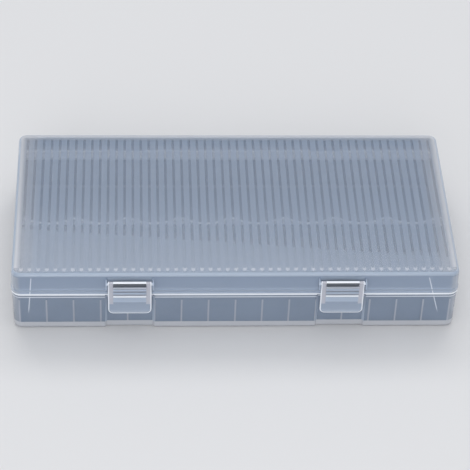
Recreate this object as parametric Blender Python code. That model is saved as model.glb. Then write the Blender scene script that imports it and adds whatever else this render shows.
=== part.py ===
"""Flat battery case in frosted plastic: a deep base with two rows of cells, a hinged lid,
two snap latches on the lid's front and two hinge pins at the back.

The origin is the centre of the underside. X runs along the case, the front faces -Y, Z is up.
"""
import math

import bmesh
import bpy

mm = 0.001

# Case outline
case_length = 190.0 * mm
case_width = 95.6 * mm
case_height = 31.0 * mm
parting_height = 19.3 * mm
corner_radius = 4.1 * mm
base_edge_radius = 1.55 * mm
lid_edge_radius = 1.55 * mm
base_setback = 0.3 * mm
base_draft_share = 0.0158
lid_draft_share = 0.0187

# Walls and the joint between lid and base
base_wall = 1.0 * mm
base_floor = 1.2 * mm
lid_wall = 1.0 * mm
lid_top = 1.2 * mm
inner_edge_radius = 0.8 * mm
fit_gap = 0.3 * mm
lip_wall = 0.6 * mm
lip_height = 2.5 * mm
lip_root_depth = 2.1 * mm
lip_chamfer = 0.6 * mm
rim_band_height = 2.4 * mm
rim_band_step = 0.15 * mm

# Battery cells
cell_pitch = 11.45 * mm
divider_thickness = 0.8 * mm
divider_length = 4.0 * mm
divider_drop = 3.0 * mm
middle_wall = 0.8 * mm
middle_bead = 1.2 * mm
middle_bead_depth = 2.4 * mm
middle_drop = 0.5 * mm
scoop_depth = 3.0 * mm
scoop_land = 2.9 * mm
rail_side_inset = 7.0 * mm
rail_width = 0.6 * mm
rail_height = 0.5 * mm
rail_front_inset = 7.5 * mm
rail_back_inset = 4.6 * mm

# Ribs under the lid
rib_pitch = 3.622 * mm
rib_width = 1.2 * mm
rib_height = 0.45 * mm
rib_side_margin = 3.4 * mm
rib_end_margin = 3.4 * mm
rib_taper = 3.6 * mm
rib_tip_width = 0.4 * mm

# Latches
latch_offset = 44.9 * mm
latch_width = 18.4 * mm
latch_thickness = 1.3 * mm
latch_bottom = 10.9 * mm
latch_corner = 2.3 * mm
latch_arm_width = 2.25 * mm
latch_arm_rise = 1.1 * mm
latch_window_height = 1.7 * mm
latch_bar_height = 1.1 * mm
latch_axis_height = 27.0 * mm
latch_axis_offset = 1.5 * mm
latch_edge_round = 0.3 * mm
trunnion_radius = 0.55 * mm
ear_thickness = 0.65 * mm
ear_wall = 0.45 * mm
ear_root_height = 21.8 * mm
ear_shoulder = 2.3 * mm
ridge_height = 0.45 * mm
ridge_thickness = 0.8 * mm
ridge_spacing = 1.8 * mm
ridge_count = 3
hook_width = 15.0 * mm
hook_height = 1.4 * mm
hook_top = 15.3 * mm
catch_width = 16.5 * mm
catch_height = 2.0 * mm
catch_reach = 1.05 * mm
catch_bevel = 0.5 * mm
pocket_depth = 0.8 * mm
pocket_mouth = 21.0 * mm
pocket_floor = 19.4 * mm

# Hinges
hinge_offset = 45.0 * mm
hinge_axis_reach = 2.6 * mm
hinge_barrel_radius = 2.0 * mm
hinge_pin_radius = 0.7 * mm
hinge_base_knuckle = 3.2 * mm
hinge_lid_knuckle = 7.0 * mm
hinge_base_strap = 6.0 * mm
hinge_lid_strap = 4.6 * mm
hinge_strap_gap = 0.4 * mm
hinge_strap_turn = 40

# Depth by which one shape runs into the body it joins, and past what it cuts
embed = 0.5 * mm
overrun = 1.0 * mm

# Facets
corner_steps = 6
edge_steps = 4
inner_edge_steps = 2
scoop_steps = 8
barrel_steps = 20
pin_steps = 16
latch_corner_steps = 5
round_steps = 2

half_length = case_length / 2
half_width = case_width / 2
lid_bottom = parting_height + fit_gap
lip_inset = lid_wall + fit_gap
lip_inner_inset = lip_inset + lip_wall
inner_half_length = half_length - base_setback - base_wall
latch_axis_y = -half_width - latch_axis_offset
hinge_axis_y = half_width + hinge_axis_reach
latch_centres = (-latch_offset, latch_offset)
hinge_centres = (-hinge_offset, hinge_offset)
front, right, back, left = 270, 0, 90, 180


def new_object(name, mesh_builder):
    """Make a scene object from a bmesh, with its normals pointing out."""
    bmesh.ops.recalc_face_normals(mesh_builder, faces=mesh_builder.faces)
    mesh = bpy.data.meshes.new(name)
    mesh_builder.to_mesh(mesh)
    mesh_builder.free()
    made = bpy.data.objects.new(name, mesh)
    bpy.context.collection.objects.link(made)
    return made


def join_loops(mesh_builder, loops):
    """Skin a stack of equal loops and close its two ends."""
    rows = [[mesh_builder.verts.new(point) for point in loop] for loop in loops]
    for lower, upper in zip(rows, rows[1:]):
        for index in range(len(lower)):
            following = (index + 1) % len(lower)
            mesh_builder.faces.new((lower[index], lower[following], upper[following], upper[index]))
    mesh_builder.faces.new(rows[0])
    mesh_builder.faces.new(rows[-1])


def stack(name, loops):
    """One closed body skinned over a stack of loops."""
    mesh_builder = bmesh.new()
    join_loops(mesh_builder, loops)
    return new_object(name, mesh_builder)


def prism_x(name, profile, spans):
    """Extrude a (y, z) profile along X, once for each (start, end) span."""
    mesh_builder = bmesh.new()
    for start, end in spans:
        join_loops(mesh_builder, [[(x, y, z) for y, z in profile] for x in (start, end)])
    return new_object(name, mesh_builder)


def prism_y(name, profile, start, end):
    """Extrude an (x, z) profile along Y."""
    return stack(name, [[(x, y, z) for x, z in profile] for y in (start, end)])


def boxes(name, extents):
    """One object of separate blocks, each given by its (x, y, z) ranges."""
    mesh_builder = bmesh.new()
    for (x0, x1), (y0, y1), (z0, z1) in extents:
        corners = ((x0, y0), (x1, y0), (x1, y1), (x0, y1))
        join_loops(mesh_builder, [[(x, y, z) for x, y in corners] for z in (z0, z1)])
    return new_object(name, mesh_builder)


def rods(name, centre_y, centre_z, radius, spans, steps):
    """Round rods along X through one centre line."""
    return prism_x(name, arc(centre_y, centre_z, radius, 0, 360, steps)[:-1], spans)


def arc(centre_x, centre_y, radius, start, end, steps):
    """Points of a circular arc, its angles in degrees."""
    turns = [math.radians(start + (end - start) * step / steps) for step in range(steps + 1)]
    return [(centre_x + radius * math.cos(turn), centre_y + radius * math.sin(turn)) for turn in turns]


def combine(target, operation, *others):
    """Join the other bodies to the target, or cut them from it, and keep one finished mesh."""
    for other in others:
        step = target.modifiers.new(other.name, "BOOLEAN")
        step.operation = operation
        step.solver = "EXACT"
        step.object = other
    graph = bpy.context.evaluated_depsgraph_get()
    finished = bpy.data.meshes.new_from_object(target.evaluated_get(graph))
    target.modifiers.clear()
    target.data = finished
    for other in others:
        bpy.data.objects.remove(other)


def smooth(made, angle=35):
    """Shade round surfaces smooth and keep the edges sharper than the angle."""
    made.data.shade_smooth()
    made.data.set_sharp_from_angle(angle=math.radians(angle))


def paint(made, colour, roughness):
    """Give the body its own plastic."""
    material = bpy.data.materials.new(made.name + "_plastic")
    material.use_nodes = True
    shader = material.node_tree.nodes["Principled BSDF"]
    shader.inputs["Base Color"].default_value = (*colour, 1.0)
    shader.inputs["Roughness"].default_value = roughness
    shader.inputs["Metallic"].default_value = 0.0
    made.data.materials.clear()
    made.data.materials.append(material)


def case_loop(inset, height, pocket=0.0, pocket_spread=0.0):
    """A rounded rectangle at one height. With a pocket its front steps back at each latch."""
    reach_x = half_length - inset
    reach_y = half_width - inset
    radius = max(corner_radius - inset, inner_edge_radius)
    points = []
    for side_x, side_y, start in ((1, 1, right), (-1, 1, back), (-1, -1, left), (1, -1, front)):
        centre_x = side_x * (reach_x - radius)
        centre_y = side_y * (reach_y - radius)
        points += arc(centre_x, centre_y, radius, start, start + 90, corner_steps)
        if start == left and pocket:
            for centre in latch_centres:
                mouth = pocket_mouth / 2 + pocket_spread
                floor = pocket_floor / 2 + pocket_spread
                points += [(centre - mouth, -reach_y), (centre - floor, -reach_y + pocket)]
                points += [(centre + floor, -reach_y + pocket), (centre + mouth, -reach_y)]
    return [(x, y, height) for x, y in points]


def base_inset(height):
    """How far the base's outer face stands inside the case outline at a height."""
    return base_setback + base_draft_share * (parting_height - height)


def lid_inset(height):
    """How far the lid's outer face stands inside the case outline above its rim band."""
    return rim_band_step + lid_draft_share * (height - lid_bottom)


def pocket_spread():
    """Sideways shift that keeps the wall round a pocket as thick as the rest."""
    turn = math.atan2(pocket_depth, (pocket_mouth - pocket_floor) / 2)
    return base_wall * math.tan(turn / 2)


def base_tray():
    """The open tray: drafted outside with a rounded bottom edge, shoulder, lip and cavity."""
    loops = []
    edge_inset = base_inset(base_edge_radius)
    for depth, height in arc(0, base_edge_radius, base_edge_radius, 270, 360, edge_steps):
        loops.append(case_loop(edge_inset + base_edge_radius - depth, height, pocket_depth))
    loops.append(case_loop(base_setback, parting_height, pocket_depth))
    spread = pocket_spread()
    lip_top = parting_height + lip_height
    root = parting_height - lip_root_depth
    ledge = root - lip_chamfer
    for inset, height in (
        (lip_inset, parting_height),
        (lip_inset, lip_top),
        (lip_inner_inset, lip_top),
        (lip_inner_inset, root),
        (base_inset(ledge) + base_wall, ledge),
    ):
        loops.append(case_loop(inset, height, pocket_depth, spread))
    foot = base_floor + inner_edge_radius
    foot_inset = base_inset(foot) + base_wall
    for depth, height in arc(0, foot, inner_edge_radius, 360, 270, inner_edge_steps):
        loops.append(case_loop(foot_inset + inner_edge_radius - depth, height, pocket_depth, spread))
    return stack("base_shell", loops)


def middle_profile(bottom, top):
    """The middle wall from the side: straight below, with finger scoops along its top."""
    end_low = half_length - base_setback - base_wall / 2 - base_draft_share * parting_height
    end_high = half_length - lip_inset - lip_wall / 2
    step_height = parting_height - lip_chamfer
    reach = cell_pitch - scoop_land / 2
    radius = (reach ** 2 + scoop_depth ** 2) / (2 * scoop_depth)
    turn = math.degrees(math.asin(reach / radius))
    points = [(-end_low, bottom), (end_low, bottom), (end_low, step_height)]
    points += [(end_high, step_height), (end_high, top)]
    scoops_each_side = int((inner_half_length - reach) / cell_pitch + 1) // 2
    for place in range(scoops_each_side - 1, -scoops_each_side - 1, -1):
        centre = (2 * place + 1) * cell_pitch
        centre_z = top + radius - scoop_depth
        points += arc(centre, centre_z, radius, 270 + turn, 270 - turn, scoop_steps)
    points += [(-end_high, top), (-end_high, step_height), (-end_low, step_height)]
    return points


def dividers():
    """Short upright fins that part the cells, on the front wall, middle wall and back wall."""
    each_side = int(inner_half_length / cell_pitch - 1)
    bottom = base_floor / 2
    top = parting_height - divider_drop
    wall_inset = base_inset(0) + base_wall / 2
    wall_face = half_width - base_inset(parting_height) - base_wall
    fins = []
    for place in range(-each_side, each_side + 1):
        centre = place * cell_pitch
        span = (centre - divider_thickness / 2, centre + divider_thickness / 2)
        in_pocket = abs(abs(centre) - latch_offset) < pocket_floor / 2
        front_face = -half_width + wall_inset + (pocket_depth if in_pocket else 0)
        middle_reach = middle_wall / 2 + divider_length
        fins.append((span, (front_face, -wall_face + divider_length), (bottom, top)))
        fins.append((span, (-middle_reach, middle_reach), (bottom, top)))
        fins.append((span, (wall_face - divider_length, half_width - wall_inset), (bottom, top)))
    return boxes("dividers", fins)


def floor_rails():
    """A low rail along each end of the floor."""
    extents = []
    reach = half_length - rail_side_inset
    for centre in (-reach, reach):
        span = (centre - rail_width / 2, centre + rail_width / 2)
        for start, end in (
            (-half_width + rail_front_inset, -middle_bead),
            (middle_bead, half_width - rail_back_inset),
        ):
            extents.append((span, (start, end), (base_floor / 2, base_floor + rail_height)))
    return boxes("floor_rails", extents)


def catches():
    """The ridge that each latch snaps over, on the pocket's face."""
    face = -half_width + base_inset(hook_top) + pocket_depth
    bottom = hook_top + fit_gap
    top = bottom + catch_height
    tip = face - catch_reach
    profile = [
        (face + embed, bottom),
        (tip, bottom),
        (tip, top - catch_bevel),
        (tip + catch_bevel, top),
        (face + embed, top),
    ]
    spans = [(centre - catch_width / 2, centre + catch_width / 2) for centre in latch_centres]
    return prism_x("catches", profile, spans)


def base_knuckles():
    """Two ears at each hinge, standing out from the base's back wall."""
    wall_y = half_width - base_inset(parting_height) - embed
    low = parting_height - hinge_base_strap
    profile = [(wall_y, parting_height - hinge_strap_gap), (wall_y, low)]
    profile += arc(hinge_axis_y, parting_height, hinge_barrel_radius, -hinge_strap_turn, left, barrel_steps)
    spans = []
    inner = hinge_lid_knuckle / 2 + fit_gap
    outer = inner + hinge_base_knuckle
    for centre in hinge_centres:
        spans += [(centre - outer, centre - inner), (centre + inner, centre + outer)]
    return prism_x("base_knuckles", profile, spans)


def hinge_bores():
    """The holes through the hinge barrels."""
    outer = hinge_lid_knuckle / 2 + fit_gap + hinge_base_knuckle + overrun
    spans = [(centre - outer, centre + outer) for centre in hinge_centres]
    radius = hinge_pin_radius + fit_gap
    return rods("hinge_bores", hinge_axis_y, parting_height, radius, spans, pin_steps)


def base_shell():
    """The tray with its middle wall, cell dividers, rails, latch catches and hinge ears."""
    tray = base_tray()
    top = parting_height + lip_height - middle_drop
    wall = prism_y("middle_wall", middle_profile(base_floor / 2, top), -middle_wall / 2, middle_wall / 2)
    bead_bottom = parting_height - middle_bead_depth
    bead = prism_y("middle_bead", middle_profile(bead_bottom, top), -middle_bead / 2, middle_bead / 2)
    combine(tray, "UNION", wall, bead, dividers(), floor_rails(), catches(), base_knuckles())
    combine(tray, "DIFFERENCE", hinge_bores())
    smooth(tray)
    return tray


def lid_cap():
    """The lid's shell: rim band, drafted sides and rounded top edge over a hollow inside."""
    band_top = lid_bottom + rim_band_height
    edge_height = case_height - lid_edge_radius
    edge_inset = lid_inset(edge_height)
    loops = [
        case_loop(0, lid_bottom),
        case_loop(0, band_top - rim_band_step),
        case_loop(lid_inset(band_top), band_top),
    ]
    for depth, height in arc(0, edge_height, lid_edge_radius, 0, 90, edge_steps):
        loops.append(case_loop(edge_inset + lid_edge_radius - depth, height))
    loops.reverse()
    underside = case_height - lid_top
    inner_edge = underside - inner_edge_radius
    inner_inset = lid_wall + lid_draft_share * (inner_edge - lid_bottom)
    loops.append(case_loop(lid_wall, lid_bottom))
    for depth, height in arc(0, inner_edge, inner_edge_radius, 0, 90, inner_edge_steps):
        loops.append(case_loop(inner_inset + inner_edge_radius - depth, height))
    return stack("lid_shell", loops)


def lid_ribs():
    """Narrow ribs from front to back on the lid's underside, tapering to their ends."""
    each_side = int((half_length - rib_side_margin) / rib_pitch)
    reach = half_width - rib_end_margin
    underside = case_height - lid_top
    half = rib_width / 2
    tip = rib_tip_width / 2
    outline = [(-tip, -reach), (tip, -reach), (half, -reach + rib_taper), (half, reach - rib_taper)]
    outline += [(tip, reach), (-tip, reach), (-half, reach - rib_taper), (-half, -reach + rib_taper)]
    mesh_builder = bmesh.new()
    for place in range(-each_side, each_side + 1):
        centre = place * rib_pitch
        levels = (underside - rib_height, underside + lid_top / 2)
        join_loops(mesh_builder, [[(centre + x, y, z) for x, y in outline] for z in levels])
    return new_object("lid_ribs", mesh_builder)


def latch_ears():
    """Two ears for each latch, on the lid's front wall."""
    wall_y = -half_width + lid_inset(latch_axis_height) + embed
    radius = trunnion_radius + fit_gap + ear_wall
    profile = [(wall_y, latch_axis_height + radius), (wall_y, ear_root_height)]
    profile += [(-half_width - fit_gap, ear_root_height)]
    profile += [(latch_axis_y - radius, latch_axis_height - ear_shoulder)]
    profile += arc(latch_axis_y, latch_axis_height, radius, 180, 90, edge_steps)
    inner = latch_width / 2 + fit_gap
    outer = inner + ear_thickness
    spans = []
    for centre in latch_centres:
        spans += [(centre - outer, centre - inner), (centre + inner, centre + outer)]
    return prism_x("latch_ears", profile, spans)


def latch_ear_holes():
    """The holes that the latches' trunnions turn in."""
    outer = latch_width / 2 + fit_gap + ear_thickness + overrun
    spans = []
    for centre in latch_centres:
        inner = latch_width / 2 - overrun
        spans += [(centre - outer, centre - inner), (centre + inner, centre + outer)]
    radius = trunnion_radius + fit_gap
    return rods("latch_ear_holes", latch_axis_y, latch_axis_height, radius, spans, pin_steps)


def lid_knuckles():
    """One knuckle at each hinge, on the lid's back wall."""
    wall_y = half_width - lid_inset(lid_bottom + hinge_lid_strap) - embed
    high = lid_bottom + hinge_lid_strap
    profile = [(wall_y, high), (wall_y, lid_bottom + hinge_strap_gap)]
    turn_end = 360 + hinge_strap_turn
    profile += arc(hinge_axis_y, parting_height, hinge_barrel_radius, left, turn_end, barrel_steps)
    half = hinge_lid_knuckle / 2
    spans = [(centre - half, centre + half) for centre in hinge_centres]
    return prism_x("lid_knuckles", profile, spans)


def lid_shell():
    """The lid with its ribs, latch ears and hinge knuckles."""
    lid = lid_cap()
    combine(lid, "UNION", lid_ribs(), latch_ears(), lid_knuckles())
    combine(lid, "DIFFERENCE", latch_ear_holes(), hinge_bores())
    smooth(lid)
    return lid


def latch_plate(name):
    """The latch's plate round its axis: rounded lower corners and a window under the top bar."""
    half = latch_width / 2
    low = latch_bottom - latch_axis_height
    outline = arc(half - latch_corner, low + latch_corner, latch_corner, 0, -90, latch_corner_steps)
    outline += arc(-half + latch_corner, low + latch_corner, latch_corner, 270, 180, latch_corner_steps)
    outline += [(-half, latch_arm_rise), (half, latch_arm_rise)]
    plate = prism_y(name, outline, -latch_thickness / 2, latch_thickness / 2)
    opening = half - latch_arm_width
    window_top = latch_arm_rise - latch_bar_height
    window = boxes("window", [(
        (-opening, opening),
        (-latch_thickness, latch_thickness),
        (window_top - latch_window_height, window_top),
    )])
    combine(plate, "DIFFERENCE", window)
    rounding = plate.modifiers.new("rounding", "BEVEL")
    rounding.width = latch_edge_round
    rounding.segments = round_steps
    rounding.limit_method = "ANGLE"
    return plate


def latch_ridges():
    """Finger ridges across the plate's face, under the window."""
    half = latch_width / 2 - latch_arm_width
    top = latch_arm_rise - latch_bar_height - latch_window_height
    extents = []
    for place in range(ridge_count):
        high = top - place * ridge_spacing - ridge_thickness / 2
        low = high - ridge_thickness
        face = -latch_thickness / 2
        extents.append(((-half, half), (face - ridge_height, face + embed), (low, high)))
    return boxes("ridges", extents)


def latch_hook():
    """The lip inside the plate that snaps under the base's catch."""
    inner_face = latch_thickness / 2
    catch_tip = -half_width + base_inset(hook_top) + pocket_depth - catch_reach
    reach = catch_tip - fit_gap - latch_axis_y
    top = hook_top - latch_axis_height
    profile = [
        (inner_face - embed, top),
        (reach, top),
        (reach, top - hook_height / 2),
        (inner_face, top - hook_height),
        (inner_face - embed, top - hook_height),
    ]
    return prism_x("hook", profile, [(-hook_width / 2, hook_width / 2)])


def latch(name, centre_x):
    """A latch that turns on trunnions in the lid's ears. Its origin is on that axis."""
    made = latch_plate(name)
    reach = latch_width / 2 + fit_gap + ear_thickness
    inner = latch_width / 2 - latch_arm_width / 2
    spans = [(-reach, -inner), (inner, reach)]
    trunnions = rods("trunnions", 0, 0, trunnion_radius, spans, pin_steps)
    combine(made, "UNION", latch_ridges(), latch_hook(), trunnions)
    made.location = (centre_x, latch_axis_y, latch_axis_height)
    smooth(made)
    return made


def hinge_pin(name, centre_x):
    """A plain pin through one hinge's three knuckles."""
    half = hinge_lid_knuckle / 2 + fit_gap + hinge_base_knuckle
    made = rods(name, 0, 0, hinge_pin_radius, [(-half, half)], pin_steps)
    made.location = (centre_x, hinge_axis_y, parting_height)
    smooth(made)
    return made


def build_case():
    """Make every piece of the closed case."""
    for old in list(bpy.data.objects):
        bpy.data.objects.remove(old)
    frosted = (0.62, 0.65, 0.70)
    paint(base_shell(), frosted, 0.38)
    paint(lid_shell(), frosted, 0.34)
    for side, sign in (("left", -1), ("right", 1)):
        paint(latch("latch_" + side, sign * latch_offset), (0.70, 0.73, 0.77), 0.25)
        paint(hinge_pin("hinge_pin_" + side, sign * hinge_offset), (0.66, 0.69, 0.73), 0.35)


build_case()
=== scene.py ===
"""Looks of the frosted plastic battery case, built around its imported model."""
from math import pi

import bpy
from mathutils import Matrix, Vector


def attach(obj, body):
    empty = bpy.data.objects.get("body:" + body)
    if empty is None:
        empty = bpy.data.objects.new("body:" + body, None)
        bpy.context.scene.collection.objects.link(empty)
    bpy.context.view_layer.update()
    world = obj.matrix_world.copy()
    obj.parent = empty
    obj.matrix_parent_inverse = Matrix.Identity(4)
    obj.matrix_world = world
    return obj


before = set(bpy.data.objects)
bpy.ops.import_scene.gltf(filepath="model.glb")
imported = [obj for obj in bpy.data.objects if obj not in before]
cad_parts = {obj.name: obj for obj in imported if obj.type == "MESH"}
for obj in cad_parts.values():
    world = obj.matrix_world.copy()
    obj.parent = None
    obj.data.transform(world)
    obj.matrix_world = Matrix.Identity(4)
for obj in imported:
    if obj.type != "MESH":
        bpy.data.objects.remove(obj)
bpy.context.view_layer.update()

mm = 0.001

# Camera
camera_place = Vector((-0.04490, -0.69770, 0.61870))
camera_right = Vector((0.99873, -0.03908, 0.03178))
camera_up = Vector((0.00168, 0.65645, 0.75437))
camera_lens = 160.06
sensor_width = 36.0
camera_near = 0.01

# Case sizes that the finish follows
half_length = 95.0 * mm
half_width = 47.8 * mm
corner_radius = 4.1 * mm
lid_bottom = 19.6 * mm
floor_top = 1.2 * mm
cell_pitch = 11.45 * mm
divider_top = 16.3 * mm
rib_pitch = 3.622 * mm
rail_offset = 88.0 * mm
pocket_depth = 0.8 * mm
latch_offset = 44.9 * mm
latch_width = 18.4 * mm
latch_corner = 2.3 * mm
latch_face = -49.95 * mm
latch_bottom = 10.9 * mm
window_half = 6.95 * mm
window_low = 25.3 * mm
window_top = 27.0 * mm
pane_front = latch_face + 0.75 * mm
pane_back = latch_face + 1.05 * mm

# Fades: each mask is 0 at the first place and 1 at the second
soft_side = 0.05 * mm
outer_skin = (-0.5 * mm, -0.3 * mm)
end_wall = (90.5 * mm, 92.5 * mm)
glint_width = (0.30 * mm, 0.10 * mm)
glint_wall = (-45.0 * mm, -45.5 * mm)
glint_foot = (8.0 * mm, 12.0 * mm)
glint_head = (29.2 * mm, 28.2 * mm)

lid_inside = (0.6 * mm, 0.7 * mm)
lid_plate = (29.2 * mm, 29.3 * mm)
lid_top = (30.2 * mm, 30.6 * mm)
lid_back = (42.5 * mm, 43.5 * mm)
lid_front = (-43.0 * mm, -44.0 * mm)
lid_border = (4.4 * mm, 1.6 * mm)
lid_rim = (lid_bottom + 0.70 * mm, lid_bottom + 0.55 * mm)
lid_flank = (83.0 * mm, 90.0 * mm)
lid_far = (38.2 * mm, 39.2 * mm)
rounding_height = (29.3 * mm, 29.7 * mm)
rounding_inset = (1.7 * mm, 1.3 * mm)
rib_side = (0.64 * mm, 0.42 * mm)
rib_end = (2.6 * mm, 3.2 * mm)
rib_tip_side = (1.05 * mm, 0.45 * mm)
rib_reflection_fade = (5.0 * mm, -15.0 * mm)
rib_reflection_edge = (-24.2 * mm, -26.2 * mm)
ear_front = (-47.9 * mm, -48.0 * mm)
ear_side = (9.7 * mm, 9.8 * mm)
behind_latch_side = (9.7 * mm, 9.0 * mm)
behind_latch_face = (-46.0 * mm, -46.5 * mm)
behind_latch_low = (22.0 * mm, 24.0 * mm)
behind_latch_high = (29.6 * mm, 29.0 * mm)

base_inside = (0.9 * mm, 1.0 * mm)
base_back = (43.5 * mm, 44.5 * mm)
pocket_side = (10.5 * mm, 9.7 * mm)
pocket_front = (-40.0 * mm, -41.0 * mm)
tray_floor = (2.2 * mm, 1.3 * mm)
tray_corner = (2.2 * mm, 1.7 * mm)
fin_side = (0.48 * mm, 0.22 * mm)
fin_root = (1.3 * mm, 1.2 * mm)
middle_side = (0.7 * mm, 0.65 * mm)
middle_foot = (floor_top, floor_top + 0.1 * mm)
middle_crest = (17.6 * mm, 18.4 * mm)
lip_height = (16.6 * mm, 17.2 * mm)
jamb_front = (-46.2 * mm, -46.4 * mm)
jamb_top = (19.2 * mm, 19.1 * mm)
catch_front = (-46.8 * mm, -46.9 * mm)
catch_side = (8.5 * mm, 8.4 * mm)
wall_top = (19.0 * mm, 19.1 * mm)
lower_edge_height = (3.9 * mm, 3.5 * mm)
lower_edge_inset = (1.4 * mm, 1.1 * mm)
rail_side = (0.5 * mm, 0.4 * mm)
rail_inset = (2.0 * mm, 2.2 * mm)

latch_outline = (0.62 * mm, 0.42 * mm)
arm_side = (6.9 * mm, 7.0 * mm)
arm_foot = (16.2 * mm, 16.4 * mm)
bar_foot = (27.85 * mm, 27.95 * mm)
tab_top = (17.4 * mm, 17.3 * mm)
ridge_face = (latch_face - 0.15 * mm, latch_face - 0.25 * mm)
last_ridge = (21.6 * mm, 21.4 * mm)

# Bands: each mask is 1 from the first place to the second
rib_tip = (-43.3 * mm, -42.3 * mm)
rib_tip_soft = 1.0 * mm
rib_band = (32.3 * mm, 38.4 * mm)
rib_band_soft = 0.4 * mm
lid_step = (21.6 * mm, 22.1 * mm)
fin_height = (floor_top + 0.1 * mm, divider_top + 0.05 * mm)
inner_ledge = (1.2 * mm, 2.6 * mm)
jamb_side = (9.75 * mm, 10.45 * mm)
jamb_soft = 0.2 * mm
catch_height = (15.5 * mm, 17.7 * mm)
parting_height = (18.4 * mm, 18.95 * mm)
shoulder_height = (17.8 * mm, 18.3 * mm)
rail_height = (floor_top + 0.02 * mm, floor_top + 0.7 * mm)
shade_height = (25.45 * mm, 27.85 * mm)
grip_height = (17.4 * mm, 25.3 * mm)
sill_height = (24.95 * mm, 25.4 * mm)
block_height = (17.4 * mm, 19.9 * mm)

# Where each glint stands at its foot, and how far it leans for its rise
glints = ((-87.9 * mm, 0.08), (87.1 * mm, -0.265))
# How far the edge of the painted softbox reflection, where the ribs fade, runs forward for its
# length
reflection_slant = 0.104

# Plastic, from the milky body to its brightest edges. Some tones paint light: the outer walls'
# lighter tone and the edge-light tone are painted light, the end walls' tone is a painted
# sheen, the shadow tone and the dark blue-grey of the inner faces are painted shade, and the
# bright, white and blue edge tones mostly paint highlights.
body = (0.32, 0.41, 0.55, 1.0)
top_tone = (0.365, 0.445, 0.58, 1.0)
# Painted light: the lid's outer walls are lighter than its top
face = (0.43, 0.54, 0.72, 1.0)
tray = (0.24, 0.295, 0.39, 1.0)
# Painted shade on the inner faces and in the gap under the lid
painted_shade = (0.15, 0.19, 0.265, 1.0)
rib_tone = (0.065, 0.12, 0.215, 1.0)
soft_edge = (0.44, 0.48, 0.56, 1.0)
fin_tone = (0.56, 0.60, 0.70, 1.0)
blue_edge = (0.46, 0.55, 0.69, 1.0)
shadow = (0.10, 0.115, 0.14, 1.0)
bright_edge = (0.76, 0.81, 0.91, 1.0)
# Painted light on the lid top's edges and the base's lower edge
painted_edge_light = (0.60, 0.62, 0.67, 1.0)
# Painted sheen on the end walls
end_sheen_tone = (0.50, 0.56, 0.66, 1.0)
arm_tone = (0.68, 0.69, 0.77, 1.0)
white_edge = (0.90, 0.94, 1.00, 1.0)

# How the plastic varies and shines
cloud_scale = 60.0
cloud_detail = 3.0
cloud_tone = 0.07
cloud_drift = 0.08
plastic_ior = 1.49
coat_roughness = 0.10
grain_scale = 1200.0
grain_strength = 0.03
grain_depth = 0.05 * mm

# Studio
floor_half = 3.0
floor_colour = (0.73, 0.73, 0.74, 1.0)
floor_roughness = 0.7
world_colour = (0.95, 0.97, 1.0, 1.0)
world_strength = 0.60
back_softbox_turn = -0.088


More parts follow.
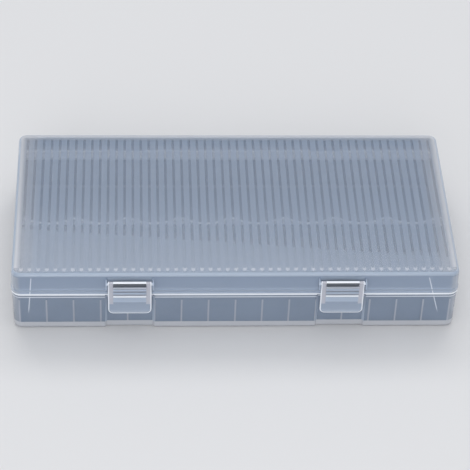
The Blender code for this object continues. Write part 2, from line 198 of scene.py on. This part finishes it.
class Graph:
    """Short ways to wire a material's nodes."""

    def __init__(self, name):
        self.material = bpy.data.materials.new(name)
        self.material.use_nodes = True
        self.tree = self.material.node_tree
        self.tree.nodes.clear()
        self.output = self.tree.nodes.new("ShaderNodeOutputMaterial")
        coordinates = self.node("TexCoord")
        split = self.node("SeparateXYZ")
        self.place = coordinates.outputs["Object"]
        self.set(split.inputs[0], self.place)
        self.x, self.y, self.z = split.outputs

    def node(self, kind, **settings):
        made = self.tree.nodes.new("ShaderNode" + kind)
        for name, value in settings.items():
            setattr(made, name, value)
        return made

    def set(self, socket, value):
        """Link a socket, or set its value."""
        if isinstance(value, bpy.types.NodeSocket):
            self.tree.links.new(value, socket)
        else:
            socket.default_value = value

    def math(self, operation, *values):
        made = self.node("Math", operation=operation)
        for socket, value in zip(made.inputs, values):
            self.set(socket, value)
        return made.outputs[0]

    def ramp(self, value, low, high):
        """0 at low and 1 at high, smooth between."""
        made = self.node("MapRange", interpolation_type="SMOOTHSTEP")
        for socket, number in zip(made.inputs, (value, low, high, 0.0, 1.0)):
            self.set(socket, number)
        return made.outputs[0]

    def between(self, value, low, high, soft=soft_side):
        """1 from low to high, 0 outside."""
        return self.both(
            self.ramp(value, low - soft, low),
            self.ramp(value, high + soft, high),
        )

    def both(self, *masks):
        result = masks[0]
        for mask in masks[1:]:
            result = self.math("MULTIPLY", result, mask)
        return result

    def without(self, mask):
        return self.math("SUBTRACT", 1.0, mask)

    def absolute(self, value):
        return self.math("ABSOLUTE", value)

    def rounded(self, across, along, radius):
        """How far a point stands inside a corner, from how far it passes each straight."""
        squares = [
            self.math("POWER", self.math("MAXIMUM", value, 0.0), 2.0)
            for value in (across, along)
        ]
        outside = self.math("SQRT", self.math("ADD", *squares))
        inside = self.math("MINIMUM", self.math("MAXIMUM", across, along), 0.0)
        return self.math("SUBTRACT", radius, self.math("ADD", outside, inside))

    def inset(self):
        """How far a point stands inside the case's rounded outline, seen from above."""
        across = self.math("SUBTRACT", self.absolute(self.x), half_length - corner_radius)
        along = self.math("SUBTRACT", self.absolute(self.y), half_width - corner_radius)
        return self.rounded(across, along, corner_radius)

    def from_latch(self):
        """Sideways distance from the middle of the nearer latch."""
        return self.absolute(self.math("SUBTRACT", self.absolute(self.x), latch_offset))

    def latch_inset(self, beside):
        """How far a point stands inside a latch's rounded outline, seen from the front."""
        across = self.math("SUBTRACT", beside, latch_width / 2 - latch_corner)
        down = self.math("SUBTRACT", latch_bottom + latch_corner, self.z)
        return self.rounded(across, down, latch_corner)

    def glint(self):
        """1 on two thin slanted lines of light, one near each end of the front wall."""
        rise = self.math("SUBTRACT", self.z, glint_foot[0])
        lines = []
        for foot, lean in glints:
            aside = self.math("SUBTRACT", self.x, self.math("MULTIPLY_ADD", rise, lean, foot))
            lines.append(self.ramp(self.absolute(aside), *glint_width))
        return self.both(
            self.math("ADD", *lines),
            self.ramp(self.y, *glint_wall),
            self.ramp(self.z, *glint_foot),
            self.ramp(self.z, *glint_head),
        )

    def noise(self, scale, detail=2.0):
        made = self.node("TexNoise")
        self.set(made.inputs["Vector"], self.place)
        made.inputs["Scale"].default_value = scale
        made.inputs["Detail"].default_value = detail
        return made.outputs[0]

    def blend(self, mask, first, second):
        """The first value, or the second where the mask is 1. Takes numbers or colours."""
        if isinstance(second, tuple):
            made = self.node("Mix", data_type="RGBA")
            sockets = made.inputs[0], made.inputs[6], made.inputs[7]
            result = made.outputs[2]
        else:
            made = self.node("Mix", data_type="FLOAT")
            sockets = made.inputs[0], made.inputs[2], made.inputs[3]
            result = made.outputs[0]
        for socket, value in zip(sockets, (mask, first, second)):
            self.set(socket, value)
        return result

    def frosted(self, layers, cover, roughness, milk=body):
        """Milky plastic: each layer is a mask, a colour and how much of the light it stops."""
        cloud = self.noise(cloud_scale, cloud_detail)
        thin, thick = (
            tuple(share * value for value in milk) for share in (1 - cloud_tone, 1 + cloud_tone)
        )
        tone = self.blend(cloud, thin, thick)
        for mask, colour, stop in layers:
            tone = self.blend(mask, tone, colour)
            cover = self.blend(mask, cover, stop)
        drift = self.math("MULTIPLY_ADD", cloud, cloud_drift, 1 - cloud_drift / 2)
        blur = self.math("MULTIPLY_ADD", cloud, cloud_drift, roughness - cloud_drift / 2)
        shader = self.node("BsdfPrincipled")
        self.set(shader.inputs["Base Color"], tone)
        self.set(shader.inputs["Alpha"], self.math("MULTIPLY", cover, drift))
        self.set(shader.inputs["Roughness"], blur)
        shader.inputs["IOR"].default_value = plastic_ior
        shader.inputs["Coat Weight"].default_value = 1.0
        shader.inputs["Coat Roughness"].default_value = coat_roughness
        bump = self.node("Bump")
        bump.inputs["Strength"].default_value = grain_strength
        bump.inputs["Distance"].default_value = grain_depth
        self.set(bump.inputs["Height"], self.noise(grain_scale))
        self.set(shader.inputs["Normal"], bump.outputs[0])
        self.set(self.output.inputs[0], shader.outputs[0])
        return self.material


def dress(node, material):
    """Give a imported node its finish."""
    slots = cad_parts[node].data.materials
    slots.clear()
    slots.append(material)


def lid_finish():
    """Clear ribs under a milky top, with painted light on the borders and outer walls, a
    painted highlight on the rim, painted shade inside and a painted softbox reflection over the
    ribs' front.
    """
    graph = Graph("lid_frosted")
    inset = graph.inset()
    beside = graph.from_latch()
    inside = graph.ramp(inset, *lid_inside)
    inside_back = graph.both(inside, graph.ramp(graph.y, *lid_back))
    plate = graph.ramp(graph.z, *lid_plate)
    outer = graph.ramp(graph.z, *lid_top)
    inner = graph.both(plate, graph.without(outer))
    # Painted shade: the back strip of the top is darker
    far = graph.both(outer, graph.ramp(graph.y, *lid_far))
    # Painted light: the ends of the top are lighter
    flank_light = graph.both(outer, graph.ramp(graph.absolute(graph.x), *lid_flank))
    # Painted sheen: the end walls are lighter
    end = graph.both(graph.without(inside), graph.ramp(graph.absolute(graph.x), *end_wall))
    # Painted light along the edges of the top, except at the front
    border_light = graph.both(
        plate,
        graph.ramp(inset, *lid_border),
        graph.without(graph.ramp(graph.y, *lid_front)),
    )
    # Painted highlight on the top's rounded edge
    rounding_highlight = graph.both(
        graph.ramp(graph.z, *rounding_height),
        graph.ramp(inset, *rounding_inset),
    )
    # Painted highlight: a light line along the top of the lid's outer band
    step_highlight = graph.between(graph.z, *lid_step)
    # Painted highlight along the lid's lower rim
    rim = graph.both(graph.ramp(graph.z, *lid_rim), graph.ramp(inset, *outer_skin))
    ear = graph.both(graph.ramp(graph.y, *ear_front), graph.ramp(beside, *ear_side))
    # Painted light over the shadow the latch casts on the lid wall behind it
    light_behind_latch = graph.both(
        graph.ramp(beside, *behind_latch_side),
        graph.ramp(graph.y, *behind_latch_face),
        graph.ramp(graph.z, *behind_latch_low),
        graph.ramp(graph.z, *behind_latch_high),
    )
    # The ribs are painted milkier toward the front, and most of all in front of a slanted line:
    # a painted reflection of the back softbox
    from_rib = graph.math("PINGPONG", graph.x, rib_pitch / 2)
    rib = graph.both(inner, graph.ramp(from_rib, *rib_side), graph.ramp(inset, *rib_end))
    reach = graph.math("MULTIPLY_ADD", graph.x, reflection_slant, graph.y)
    reflection_fade = graph.both(rib, graph.ramp(graph.y, *rib_reflection_fade))
    reflection_front = graph.both(rib, graph.ramp(reach, *rib_reflection_edge))
    band = graph.both(rib, graph.between(graph.y, *rib_band, soft=rib_band_soft))
    # Painted highlights on the rib tips at the front
    tip_highlight = graph.both(
        inner,
        graph.ramp(from_rib, *rib_tip_side),
        graph.between(graph.y, *rib_tip, soft=rib_tip_soft),
    )
    layers = (
        # painted light: the outer walls lighter than the top
        (graph.without(inside), face, 0.50),
        # painted light over the latch's shadow
        (light_behind_latch, blue_edge, 0.66),
        # painted shade on the inside faces, darkest at the back
        (inside, painted_shade, 0.50),
        (inside_back, painted_shade, 0.80),
        # painted highlight: two slanted glints on the front wall
        (graph.glint(), bright_edge, 0.72),
        (end, end_sheen_tone, 0.58),
        (outer, top_tone, 0.33),
        # painted shade on the back strip of the top
        (far, body, 0.31),
        (flank_light, soft_edge, 0.40),
        (inner, body, 0.56),
        (rib, rib_tone, 0.50),
        # painted reflection of the back softbox over the ribs' front part
        (reflection_fade, body, 0.26),
        (reflection_front, body, 0.51),
        (band, soft_edge, 0.36),
        (tip_highlight, bright_edge, 0.66),
        (border_light, painted_edge_light, 0.66),
        (rounding_highlight, blue_edge, 0.66),
        (step_highlight, blue_edge, 0.60),
        (ear, blue_edge, 0.70),
        # painted highlight along the rim
        (rim, white_edge, 0.98),
    )
    return graph.frosted(layers, cover=0.50, roughness=0.34)


def base_finish():
    """A milky tray with a closer floor and brighter fins, painted highlights on the wall tops
    and inner ledges, painted light on the lower edge, and painted shade inside and in the gap
    under the lid.
    """
    graph = Graph("base_frosted")
    beside = graph.from_latch()
    pocket = graph.both(
        graph.ramp(graph.y, *pocket_front),
        graph.ramp(beside, *pocket_side),
    )
    inset = graph.math("MULTIPLY_ADD", pocket, -pocket_depth, graph.inset())
    inside = graph.ramp(inset, *base_inside)
    inside_back = graph.both(inside, graph.ramp(graph.y, *base_back))
    outside = graph.both(graph.without(inside), graph.ramp(inset, *outer_skin))
    # Painted sheen: the end walls are lighter
    end = graph.both(outside, graph.ramp(graph.absolute(graph.x), *end_wall))
    floor = graph.ramp(graph.z, *tray_floor)
    ledge = graph.between(inset, *inner_ledge)
    corner = graph.both(graph.ramp(graph.z, *tray_corner), ledge)
    # Painted highlight on the inner ledge near the wall top
    lip_highlight = graph.both(graph.ramp(graph.z, *lip_height), ledge)
    fin = graph.both(
        graph.ramp(inset, *fin_root),
        graph.ramp(graph.math("PINGPONG", graph.x, cell_pitch / 2), *fin_side),
        graph.between(graph.z, *fin_height),
    )
    middle = graph.both(
        graph.ramp(graph.absolute(graph.y), *middle_side),
        graph.ramp(graph.z, *middle_foot),
    )
    # Painted highlight along the top of the middle wall
    crest_highlight = graph.both(middle, graph.ramp(graph.z, *middle_crest))
    jamb = graph.both(
        graph.between(beside, *jamb_side, soft=jamb_soft),
        graph.ramp(graph.y, *jamb_front),
        graph.ramp(graph.z, *jamb_top),
    )
    catch = graph.both(
        graph.ramp(graph.y, *catch_front),
        graph.ramp(beside, *catch_side),
        graph.between(graph.z, *catch_height),
    )
    # Painted light on the lower edge, which faces down into shade
    lower_edge_light = graph.both(
        graph.ramp(graph.z, *lower_edge_height),
        graph.ramp(inset, *lower_edge_inset),
    )
    # Painted shade: a dark band in the gap under the lid's rim
    parting_shade = graph.both(graph.between(graph.z, *parting_height), outside)
    # Painted highlight on the base wall just below the gap
    shoulder_highlight = graph.both(graph.between(graph.z, *shoulder_height), outside)
    # Painted highlight along the top of the outer wall
    top = graph.both(graph.ramp(graph.z, *wall_top), outside)
    from_rail = graph.absolute(graph.math("SUBTRACT", graph.absolute(graph.x), rail_offset))
    rail = graph.both(
        graph.ramp(from_rail, *rail_side),
        graph.between(graph.z, *rail_height),
        graph.ramp(inset, *rail_inset),
    )
    layers = (
        (end, end_sheen_tone, 0.54),
        # painted shade on the inside faces, darkest at the back
        (inside, painted_shade, 0.64),
        (inside_back, painted_shade, 0.88),
        (floor, tray, 0.90),
        (corner, soft_edge, 0.92),
        (fin, fin_tone, 0.60),
        # painted highlight: two slanted glints on the front wall
        (graph.glint(), bright_edge, 0.70),
        (middle, body, 0.40),
        (crest_highlight, bright_edge, 0.85),
        (lip_highlight, white_edge, 0.97),
        (jamb, blue_edge, 0.80),
        (catch, bright_edge, 0.90),
        (lower_edge_light, painted_edge_light, 0.84),
        # painted shade in the gap under the lid
        (parting_shade, painted_shade, 0.88),
        (shoulder_highlight, bright_edge, 0.75),
        (top, white_edge, 0.95),
        (rail, white_edge, 1.00),
    )
    return graph.frosted(layers, cover=0.48, roughness=0.36)


def latch_finish():
    """Smoother clips with painted shade in the window, and painted highlights on the ridges,
    outline and top beam.
    """
    graph = Graph("latch_frosted")
    beside = graph.from_latch()
    # Painted highlight along the clip's outline
    outline = graph.ramp(graph.latch_inset(beside), *latch_outline)
    aside = graph.ramp(beside, *arm_side)
    between_arms = graph.without(aside)
    arm = graph.both(aside, graph.ramp(graph.z, *arm_foot))
    tab = graph.ramp(graph.z, *tab_top)
    # Painted highlight on the top beam between the arms
    bar_highlight = graph.both(between_arms, graph.ramp(graph.z, *bar_foot))
    # Painted shade: the window is dark
    shade = graph.both(between_arms, graph.between(graph.z, *shade_height))
    grip = graph.both(between_arms, graph.between(graph.z, *grip_height))
    # Painted highlight on the window's lower edge
    sill_highlight = graph.both(between_arms, graph.between(graph.z, *sill_height))
    block = graph.both(between_arms, graph.between(graph.z, *block_height))
    # Painted highlights on the raised ridges, strongest on the lowest one
    ridge_highlight = graph.ramp(graph.y, *ridge_face)
    last_ridge_highlight = graph.both(ridge_highlight, graph.ramp(graph.z, *last_ridge))
    layers = (
        (tab, blue_edge, 0.50),
        (arm, arm_tone, 0.60),
        (grip, soft_edge, 0.72),
        (block, blue_edge, 0.80),
        (sill_highlight, bright_edge, 0.85),
        (ridge_highlight, blue_edge, 0.85),
        (last_ridge_highlight, white_edge, 0.97),
        # painted shade in the window
        (shade, shadow, 0.85),
        (outline, white_edge, 0.95),
        (bar_highlight, white_edge, 0.97),
    )
    return graph.frosted(layers, cover=0.46, roughness=0.20)


def shade_pane(side, centre):
    """A thin dark pane of painted shade that closes a latch's window."""
    corners = [
        (x, y, z)
        for x in (centre - window_half, centre + window_half)
        for y in (pane_front, pane_back)
        for z in (window_low, window_top)
    ]
    faces = [
        (0, 1, 3, 2),
        (4, 6, 7, 5),
        (0, 4, 5, 1),
        (2, 3, 7, 6),
        (0, 2, 6, 4),
        (1, 5, 7, 3),
    ]
    made = add_mesh("window_" + side, corners, faces, shade_pane_finish(side))
    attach(made, side + "_latch")


def add_mesh(name, corners, faces, material):
    mesh = bpy.data.meshes.new(name)
    mesh.from_pydata(corners, [], faces)
    mesh.materials.append(material)
    return add_object(name, mesh)


def add_object(name, data):
    made = bpy.data.objects.new(name, data)
    bpy.context.scene.collection.objects.link(made)
    return made


# Painted shade: an even dark tone for the window panes
def shade_pane_finish(side):
    return Graph("pane_" + side).frosted((), cover=0.80, roughness=0.30, milk=shadow)


def pin_finish():
    return Graph("pin_frosted").frosted((), cover=0.60, roughness=0.30, milk=soft_edge)


def finish_case():
    dress("base_shell", base_finish())
    dress("lid_shell", lid_finish())
    clip = latch_finish()
    pin = pin_finish()
    for side in ("left", "right"):
        dress("latch_" + side, clip)
        dress("hinge_pin_" + side, pin)
    # Dark panes of painted shade fill the latches' windows
    shade_pane("left", -latch_offset)
    shade_pane("right", latch_offset)


def floor_finish():
    graph = Graph("pale_floor")
    shader = graph.node("BsdfPrincipled")
    shader.inputs["Base Color"].default_value = floor_colour
    shader.inputs["Roughness"].default_value = floor_roughness
    graph.set(graph.output.inputs[0], shader.outputs[0])
    return graph.material


def floor():
    """A plain pale floor."""
    signs = ((-1, -1), (1, -1), (1, 1), (-1, 1))
    corners = [(floor_half * x, floor_half * y, 0.0) for x, y in signs]
    add_mesh("floor", corners, [(0, 1, 2, 3)], floor_finish())


def lamp(name, place, target, size, brightness):
    """A soft rectangular lamp whose face shows at the given brightness, where 1 is white."""
    light = bpy.data.lights.new(name, "AREA")
    light.shape = "RECTANGLE"
    light.size, light.size_y = size
    light.energy = brightness * size[0] * size[1] * pi
    made = add_object(name, light)
    made.location = place
    aim = Vector(target) - Vector(place)
    made.rotation_euler = aim.to_track_quat("-Z", "Y").to_euler()
    return made


def lighting():
    world = bpy.data.worlds.new("studio")
    world.use_nodes = True
    bpy.context.scene.world = world
    background = world.node_tree.nodes["Background"]
    background.inputs[0].default_value = world_colour
    background.inputs[1].default_value = world_strength
    # The low edge of this softbox shows in the front third of the lid, where the lid's finish
    # also paints its reflection
    softbox = lamp(
        "back_softbox",
        place=(0.05, 1.0, 1.43),
        target=(0.05, 0.0, 1.43),
        size=(1.6, 1.0),
        brightness=2.6,
    )
    softbox.rotation_euler.rotate_axis("Z", back_softbox_turn)
    lamp(
        "overhead_softbox",
        place=(0.0, 0.0, 1.3),
        target=(0.0, 0.0, 0.0),
        size=(1.0, 1.0),
        brightness=1.0,
    )
    lamp(
        "front_fill",
        place=(-0.25, -1.6, 0.75),
        target=(0.0, 0.0, 0.0),
        size=(1.2, 0.8),
        brightness=2.6,
    )


def camera():
    data = bpy.data.cameras.new("camera")
    data.sensor_width = sensor_width
    data.lens = camera_lens
    data.clip_start = camera_near
    made = add_object("camera", data)
    toward = camera_up.cross(camera_right).normalized()
    axes = Matrix((camera_right, camera_up, -toward)).transposed()
    made.matrix_world = Matrix.Translation(camera_place) @ axes.to_4x4()
    bpy.context.scene.camera = made


bpy.context.scene.view_settings.view_transform = "Standard"
finish_case()
floor()
lighting()
camera()
